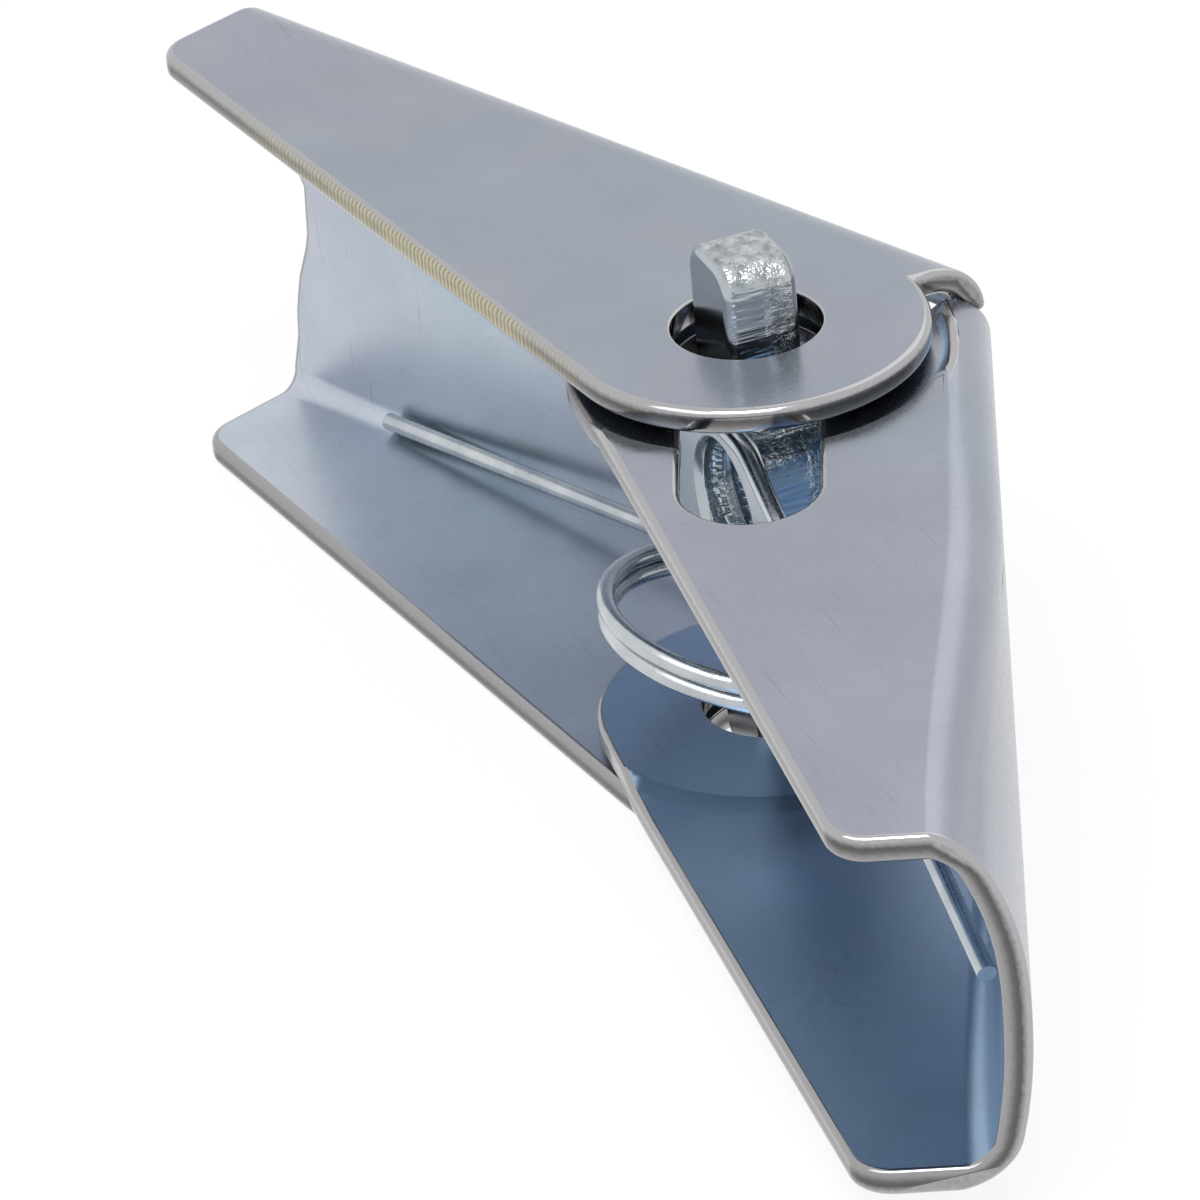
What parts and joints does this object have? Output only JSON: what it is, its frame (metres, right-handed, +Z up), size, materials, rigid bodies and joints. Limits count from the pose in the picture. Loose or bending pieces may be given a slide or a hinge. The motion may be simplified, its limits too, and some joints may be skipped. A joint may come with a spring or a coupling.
{
  "type": "spring toggle",
  "caption": "Zinc-plated spring toggle for hollow walls: tapered channel wings pivot on a threaded nut plate, and a wire torsion spring pushes them open.",
  "frame": {"origin": "where the nut's thread axis crosses the pivot axis of the wings", "axes": "+Z up along the pivot axis; -Y along the thread towards the bolt's head; -X towards the outer wing and +X towards the inner wing"},
  "size_m": [0.0965, 0.0288, 0.0299],
  "materials": {
    "wing_zinc": "satin blue zinc plating",
    "nut_zinc": "blue zinc plating over sheared faces",
    "spring_wire": "drawn and zinc plated"
  },
  "bodies": {
    "nut": {"trunnion_nut": "nut_zinc", "torsion_spring": "spring_wire"},
    "outer_wing": {"outer_wing": "wing_zinc"},
    "inner_wing": {"inner_wing": "wing_zinc"}
  },
  "joints": [
    {"name": "outer_wing_fold", "type": "hinge", "parent": "nut", "child": "outer_wing", "pos_m": [0, 0, 0], "axis": [0, 0, 1], "range_deg": [0, 75], "stiffness_Nm_per_rad": 0.02, "springref_deg": -28.65, "deforming": ["torsion_spring"]},
    {"name": "inner_wing_fold", "type": "hinge", "parent": "nut", "child": "inner_wing", "pos_m": [0, 0, 0], "axis": [0, 0, -1], "range_deg": [0, 75], "stiffness_Nm_per_rad": 0.02, "springref_deg": -28.65, "deforming": ["torsion_spring"]}
  ]
}
